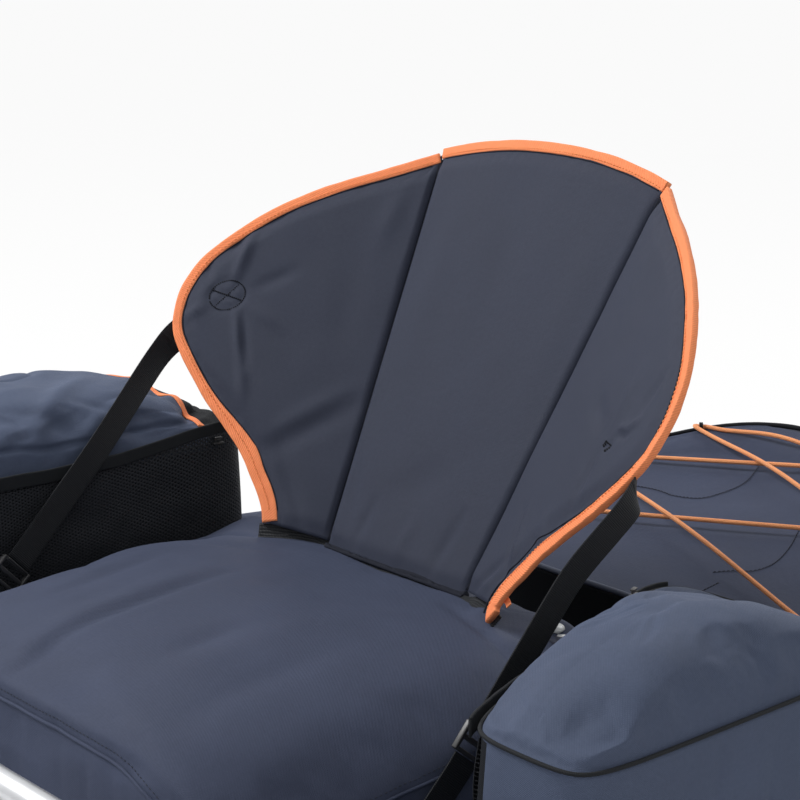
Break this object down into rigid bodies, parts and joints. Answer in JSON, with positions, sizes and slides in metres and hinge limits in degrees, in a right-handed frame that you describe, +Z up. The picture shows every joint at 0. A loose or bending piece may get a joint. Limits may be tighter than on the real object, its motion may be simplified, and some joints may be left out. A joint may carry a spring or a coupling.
{
  "type": "float tube",
  "caption": "Open-front inflatable float tube with a crowned seat, folding three-panel backrest, zipped armrest pockets and a bungee-laced rear deck.",
  "frame": {"origin": "on the floor, below the middle of the hull's bounding box", "axes": "+X to the sitter's left, +Y to the stern, +Z up; the sitter faces -Y"},
  "size_m": [1.2336, 1.426, 0.7809],
  "materials": {
    "grey_nylon": "matte woven nylon",
    "dark_nylon": "matte",
    "black_fabric": "matte coated",
    "webbing": "ribbed webbing",
    "orange_tape": "woven binding",
    "orange_cord": "braided sheath",
    "foam": "closed-cell foam",
    "bladder_film": "satin film",
    "clear_valve": "translucent",
    "black_plastic": "moulded",
    "steel": "satin",
    "aluminium": "satin anodised"
  },
  "bodies": {
    "hull": {"hull_cover_upper_left": "grey_nylon", "hull_cover_upper_right": "grey_nylon", "hull_cover_lower_left": "black_fabric", "hull_cover_lower_right": "black_fabric", "air_chamber_left": "bladder_film", "air_chamber_right": "bladder_film", "main_valve_left": "black_plastic", "main_valve_right": "black_plastic", "seat_cover": "grey_nylon", "seat_bladder": "bladder_film", "seat_valve": "clear_valve", "seat_sling": "black_fabric", "rear_wall": "black_fabric", "rear_deck": "grey_nylon", "deck_hem": "dark_nylon", "deck_binding_left": "black_fabric", "deck_binding_right": "black_fabric", "bungee_cord": "orange_cord", "pocket_body_left": "grey_nylon", "pocket_body_right": "grey_nylon", "pocket_hem_left": "black_fabric", "pocket_hem_right": "black_fabric", "pocket_mesh_left": "black_fabric", "pocket_mesh_right": "black_fabric", "hinge_tape": "webbing", "strap_left": "webbing", "strap_right": "webbing", "strap_anchor_left": "webbing", "strap_anchor_right": "webbing", "bar_pivot": "black_plastic", "bar_clip": "black_plastic", "ring_patch": "black_fabric"},
    "backrest": {"backrest_centre_core": "foam", "backrest_centre_cover": "grey_nylon", "binding_centre": "orange_tape", "fold_seam_left": "dark_nylon", "fold_seam_right": "dark_nylon", "hinge_bead": "webbing"},
    "wing_left": {"backrest_wing_left_core": "foam", "backrest_wing_left_cover": "grey_nylon", "binding_wing_left": "orange_tape"},
    "wing_right": {"backrest_wing_right_core": "foam", "backrest_wing_right_cover": "grey_nylon", "binding_wing_right": "orange_tape"},
    "lid_left": {"pocket_lid_left": "grey_nylon", "lid_piping_left": "orange_tape"},
    "lid_right": {"pocket_lid_right": "grey_nylon", "lid_piping_right": "orange_tape"},
    "slider_left": {"zip_slider_left": "black_plastic"},
    "slider_right": {"zip_slider_right": "black_plastic"},
    "valve_cap_left": {"main_valve_cap_left": "black_plastic"},
    "valve_cap_right": {"main_valve_cap_right": "black_plastic"},
    "seat_plug": {"seat_valve_plug": "clear_valve"},
    "bar": {"front_bar": "aluminium"},
    "handle_left": {"carry_handle_left": "webbing"},
    "handle_right": {"carry_handle_right": "webbing"},
    "ring": {"stern_ring": "steel"},
    "adjuster_left": {"strap_adjuster_left": "black_plastic"},
    "adjuster_right": {"strap_adjuster_right": "black_plastic"}
  },
  "joints": [
    {"name": "backrest_fold", "type": "hinge", "parent": "hull", "child": "backrest", "pos_m": [0, -0.035, 0.39], "axis": [1, 0, 0], "range_deg": [0, 110], "deforming": ["strap_left", "strap_right"]},
    {"name": "wing_left_fold", "type": "hinge", "parent": "backrest", "child": "wing_left", "pos_m": [0.1, -0.035, 0.39], "axis": [0.1252, 0.4795, 0.8686], "range_deg": [0, 61]},
    {"name": "wing_right_fold", "type": "hinge", "parent": "backrest", "child": "wing_right", "pos_m": [-0.1, -0.035, 0.39], "axis": [0.1252, -0.4795, -0.8686], "range_deg": [0, 61]},
    {"name": "lid_left_open", "type": "hinge", "parent": "hull", "child": "lid_left", "pos_m": [0.548, -0.345, 0.4543], "axis": [0, 1, 0], "range_deg": [0, 100]},
    {"name": "lid_right_open", "type": "hinge", "parent": "hull", "child": "lid_right", "pos_m": [-0.548, -0.345, 0.4543], "axis": [0, -1, 0], "range_deg": [0, 100]},
    {"name": "slider_left_run", "type": "slide", "parent": "hull", "child": "slider_left", "axis": [0.3387, -0.9409, 0], "range_m": [0, 0.25]},
    {"name": "slider_right_run", "type": "slide", "parent": "hull", "child": "slider_right", "axis": [-0.1483, -0.9889, 0], "range_m": [0, 0.27]},
    {"name": "valve_cap_left_turn", "type": "hinge", "parent": "hull", "child": "valve_cap_left", "pos_m": [0.503, 0.1886, 0.221], "axis": [0.868, 0.36, 0.342], "range_deg": [0, 270]},
    {"name": "valve_cap_right_turn", "type": "hinge", "parent": "hull", "child": "valve_cap_right", "pos_m": [-0.503, 0.1886, 0.221], "axis": [-0.868, 0.36, 0.342], "range_deg": [0, 270]},
    {"name": "seat_plug_flip", "type": "hinge", "parent": "hull", "child": "seat_plug", "pos_m": [0.203, -0.013, 0.3844], "axis": [-1, 0, 0], "range_deg": [0, 110]},
    {"name": "front_bar_swing", "type": "hinge", "parent": "hull", "child": "bar", "pos_m": [0.43, -0.53, 0.3518], "axis": [0, 1, 0], "range_deg": [0, 95]},
    {"name": "handle_left_lift", "type": "hinge", "parent": "hull", "child": "handle_left", "pos_m": [0.6068, -0.22, 0.192], "axis": [0, -1, 0], "range_deg": [0, 90]},
    {"name": "handle_right_lift", "type": "hinge", "parent": "hull", "child": "handle_right", "pos_m": [-0.6068, -0.22, 0.192], "axis": [0, 1, 0], "range_deg": [0, 90]},
    {"name": "stern_ring_swing", "type": "hinge", "parent": "hull", "child": "ring", "pos_m": [0, 0.6687, 0.3961], "axis": [1, 0, 0], "range_deg": [0, 110]},
    {"name": "adjuster_left_tilt", "type": "hinge", "parent": "hull", "child": "adjuster_left", "pos_m": [0.303, -0.215, 0.362], "axis": [0, 0.753, -0.658], "range_deg": [0, 30]},
    {"name": "adjuster_right_tilt", "type": "hinge", "parent": "hull", "child": "adjuster_right", "pos_m": [-0.303, -0.278, 0.362], "axis": [0, -0.6607, 0.7507], "range_deg": [0, 30]}
  ],
  "couplings": [
    {"joint": "wing_left_fold", "follows": "backrest_fold", "ratio": 0.55},
    {"joint": "wing_right_fold", "follows": "backrest_fold", "ratio": 0.55}
  ]
}
